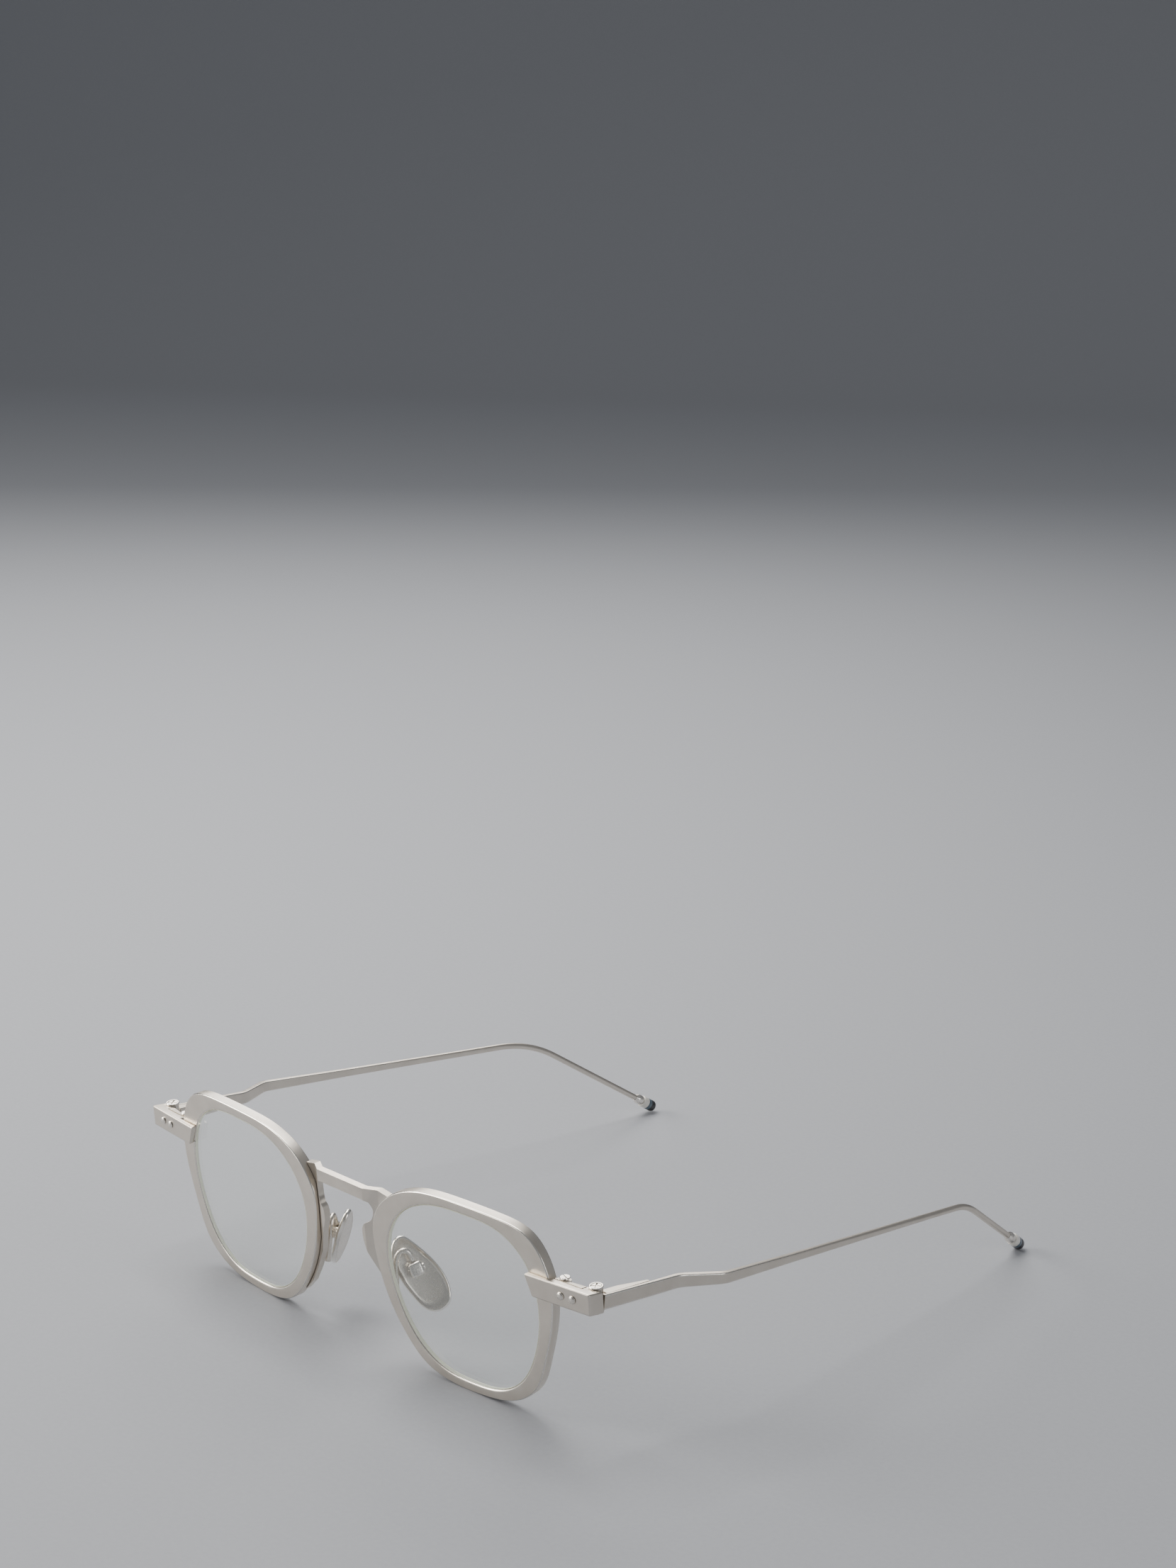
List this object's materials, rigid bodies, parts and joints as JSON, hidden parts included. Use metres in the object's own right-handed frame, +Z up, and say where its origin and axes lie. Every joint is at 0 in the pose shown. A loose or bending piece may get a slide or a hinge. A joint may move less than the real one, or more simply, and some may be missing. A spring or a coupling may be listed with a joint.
{
  "type": "eyeglasses",
  "caption": "Satin metal eyeglasses with plate rims, a rear bridge, riveted end pieces, screw hinges, kinked temples, ringed tips and rocking nose pads.",
  "frame": {"origin": "centre of the bounding box in plan, on the surface the glasses stand on", "axes": "+X towards the wearer's left, +Y back along the temples, +Z up"},
  "size_m": [0.145, 0.1516, 0.0416],
  "materials": {
    "satin_titanium": "fine blasted satin, warm champagne grey",
    "polished_steel": "polished",
    "clear_lens": "clear, pale green edge",
    "ivory_enamel": "gloss",
    "slate_enamel": "gloss",
    "charcoal_enamel": "gloss"
  },
  "bodies": {
    "front_body": {"bridge": "satin_titanium", "left_closing_block_lower": "satin_titanium", "left_closing_block_upper": "satin_titanium", "left_closing_screw": "polished_steel", "left_end_piece": "satin_titanium", "left_hinge_screw": "polished_steel", "left_hinge_washer_lower": "polished_steel", "left_hinge_washer_upper": "polished_steel", "left_lens": "clear_lens", "left_pad_arm": "satin_titanium", "left_pad_box": "polished_steel", "left_pad_screw": "polished_steel", "left_rim": "satin_titanium", "left_rivet_inner": "satin_titanium", "left_rivet_outer": "satin_titanium", "right_closing_block_lower": "satin_titanium", "right_closing_block_upper": "satin_titanium", "right_closing_screw": "polished_steel", "right_end_piece": "satin_titanium", "right_hinge_screw": "polished_steel", "right_hinge_washer_lower": "polished_steel", "right_hinge_washer_upper": "polished_steel", "right_lens": "clear_lens", "right_pad_arm": "satin_titanium", "right_pad_box": "polished_steel", "right_pad_screw": "polished_steel", "right_rim": "satin_titanium", "right_rivet_inner": "satin_titanium", "right_rivet_outer": "satin_titanium"},
    "left_temple_body": {"left_temple": "satin_titanium", "left_hinge_leaf": "satin_titanium", "left_ferrule": "polished_steel", "left_tip_collar": "ivory_enamel", "left_tip_ring": "slate_enamel", "left_tip_cap": "charcoal_enamel"},
    "right_temple_body": {"right_temple": "satin_titanium", "right_hinge_leaf": "satin_titanium", "right_ferrule": "polished_steel", "right_tip_collar": "ivory_enamel", "right_tip_ring": "slate_enamel", "right_tip_cap": "charcoal_enamel"},
    "left_pad_body": {"left_nose_pad": "satin_titanium"},
    "right_pad_body": {"right_nose_pad": "satin_titanium"}
  },
  "joints": [
    {"name": "left_temple_fold", "type": "hinge", "parent": "front_body", "child": "left_temple_body", "pos_m": [0.0662, -0.06729, 0.02975], "axis": [0, -0.1255, 0.9921], "range_deg": [0, 82]},
    {"name": "right_temple_fold", "type": "hinge", "parent": "front_body", "child": "right_temple_body", "pos_m": [-0.0662, -0.06729, 0.02975], "axis": [0, 0.1255, -0.9921], "range_deg": [0, 76]},
    {"name": "left_pad_rock", "type": "hinge", "parent": "front_body", "child": "left_pad_body", "pos_m": [0.0135, -0.06563, 0.01903], "axis": [0.4094, 0.8528, 0.3241], "range_deg": [-6, 6]},
    {"name": "right_pad_rock", "type": "hinge", "parent": "front_body", "child": "right_pad_body", "pos_m": [-0.0135, -0.06563, 0.01903], "axis": [-0.4094, 0.8528, 0.3241], "range_deg": [-6, 6]}
  ]
}
